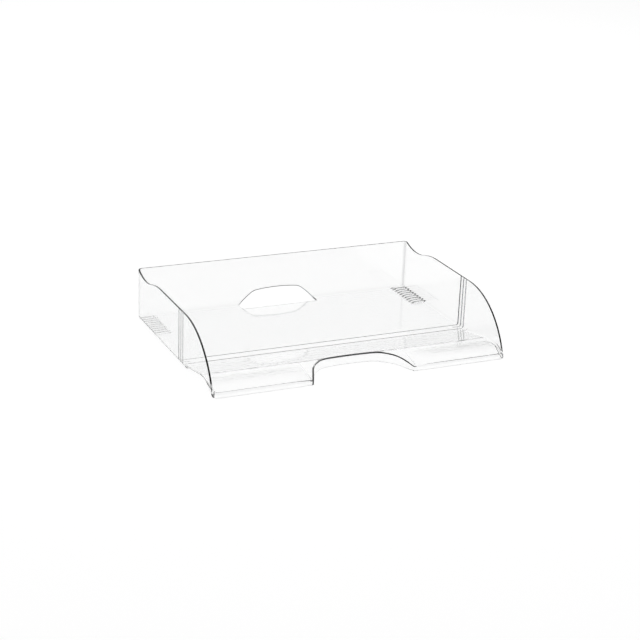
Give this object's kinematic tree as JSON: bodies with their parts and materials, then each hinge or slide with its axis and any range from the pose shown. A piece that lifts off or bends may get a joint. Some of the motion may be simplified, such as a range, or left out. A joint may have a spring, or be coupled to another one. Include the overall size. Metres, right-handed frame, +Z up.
{
  "type": "letter tray",
  "caption": "Clear landscape letter tray, open at the front, with a humped floor and grip cut-out, sculpted side walls, an arched rear wall and combs for stacking.",
  "frame": {"origin": "middle of the tray's footprint, on the surface it stands on", "axes": "+X to the tray's right, +Y to the rear, +Z up"},
  "size_m": [0.35, 0.252, 0.0628],
  "materials": {
    "clear_polystyrene": "gloss"
  },
  "bodies": {
    "root": {"floor_band": "clear_polystyrene", "front_floor": "clear_polystyrene", "grip_skirt": "clear_polystyrene", "left_front_lip": "clear_polystyrene", "left_rear_corner": "clear_polystyrene", "left_stacking_comb": "clear_polystyrene", "left_wall_band": "clear_polystyrene", "left_wall_front": "clear_polystyrene", "left_wall_rear": "clear_polystyrene", "rear_floor": "clear_polystyrene", "rear_wall": "clear_polystyrene", "right_front_lip": "clear_polystyrene", "right_rear_corner": "clear_polystyrene", "right_stacking_comb": "clear_polystyrene", "right_wall_band": "clear_polystyrene", "right_wall_front": "clear_polystyrene", "right_wall_rear": "clear_polystyrene"}
  },
  "joints": []
}
